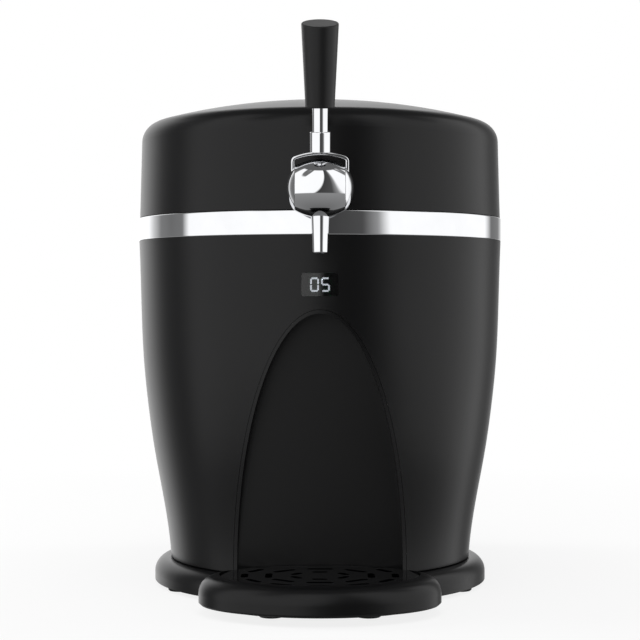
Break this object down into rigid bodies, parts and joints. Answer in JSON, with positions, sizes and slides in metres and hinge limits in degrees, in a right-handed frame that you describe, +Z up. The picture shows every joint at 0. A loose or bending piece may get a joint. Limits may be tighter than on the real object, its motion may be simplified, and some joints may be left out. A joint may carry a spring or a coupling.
{
  "type": "mini keg beer dispenser",
  "caption": "Cooled barrel-shaped housing for a small party keg, with a hinged head carrying a lever tap, a glass niche and a lift-out drip tray.",
  "frame": {"origin": "on the table, under the middle of the overall box", "axes": "+Z up, the tap and drip tray face -Y, +X to the right seen from the front"},
  "size_m": [0.2814, 0.3876, 0.4097],
  "materials": {
    "black_plastic": "fine satin moulded ABS, black",
    "dark_plastic": "black moulded ABS, slightly glossier",
    "gloss_black": "glossy black plastic",
    "chrome": "polished chrome plating",
    "aluminium": "spun aluminium, satin",
    "anodised": "extruded aluminium, plain",
    "steel": "zinc plated steel",
    "rubber": "black rubber",
    "silicone": "pale silicone",
    "foam": "expanded polystyrene foam, white",
    "liner_plastic": "grey moulded ABS",
    "ceramic_white": "white alumina",
    "board_green": "circuit board laminate",
    "window_smoke": "smoked acrylic",
    "lit_digits": "lit white bars"
  },
  "bodies": {
    "housing": {"base_plate": "dark_plastic", "base_plinth": "black_plastic", "rubber_feet": "rubber", "base_screws": "steel", "lower_shell": "black_plastic", "niche_panel": "black_plastic", "insulation": "foam", "display_window": "window_smoke", "display_digits": "lit_digits", "display_board": "board_green", "chrome_band": "chrome", "top_collar": "liner_plastic", "lid_seal": "silicone", "keg_well": "aluminium", "rear_housing": "black_plastic", "rear_vent": "dark_plastic", "power_supply": "dark_plastic", "power_inlet": "dark_plastic", "inlet_pins": "steel", "switch_bezel": "gloss_black", "housing_screws": "steel", "control_board": "board_green", "cold_block": "anodised", "peltier_module": "ceramic_white", "heat_sink": "anodised", "fan_frame": "dark_plastic", "hinge_bracket": "dark_plastic", "hinge_pin": "steel", "hinge_screws": "steel"},
    "head": {"head_shell": "black_plastic", "head_liner": "liner_plastic", "head_insulation": "foam", "hinge_arms": "dark_plastic", "tap_body": "chrome", "tap_rosette": "chrome", "tap_shank": "steel", "shank_nut": "steel", "spout": "chrome", "beer_hose": "silicone", "keg_connector": "liner_plastic", "connector_clip": "liner_plastic"},
    "lever": {"tap_yoke": "chrome", "pivot_caps": "chrome", "valve_plug": "steel", "lever_collar": "chrome", "lever_stem": "chrome", "grip_ferrule": "chrome", "handle_grip": "black_plastic"},
    "tray": {"drip_tray": "black_plastic"},
    "grille": {"drip_grille": "gloss_black"},
    "fan": {"fan_rotor": "dark_plastic"},
    "rocker": {"switch_rocker": "gloss_black"}
  },
  "joints": [
    {"name": "head_hinge", "type": "hinge", "parent": "housing", "child": "head", "pos_m": [0, 0.15023, 0.2815], "axis": [-1, 0, 0], "range_deg": [0, 75]},
    {"name": "tap_lever", "type": "hinge", "parent": "head", "child": "lever", "pos_m": [0, -0.16177, 0.295], "axis": [1, 0, 0], "range_deg": [0, 45]},
    {"name": "tray_slide", "type": "slide", "parent": "housing", "child": "tray", "axis": [0, -1, 0], "range_m": [0, 0.09]},
    {"name": "grille_lift", "type": "slide", "parent": "tray", "child": "grille", "axis": [0, 0, 1], "range_m": [0, 0.02]},
    {"name": "fan_spin", "type": "hinge", "parent": "housing", "child": "fan", "pos_m": [0, 0.15223, 0.136], "axis": [0, 1, 0], "continuous": true},
    {"name": "power_rocker", "type": "hinge", "parent": "housing", "child": "rocker", "pos_m": [-0.038, 0.18823, 0.04], "axis": [-1, 0, 0], "range_deg": [0, 16]}
  ]
}
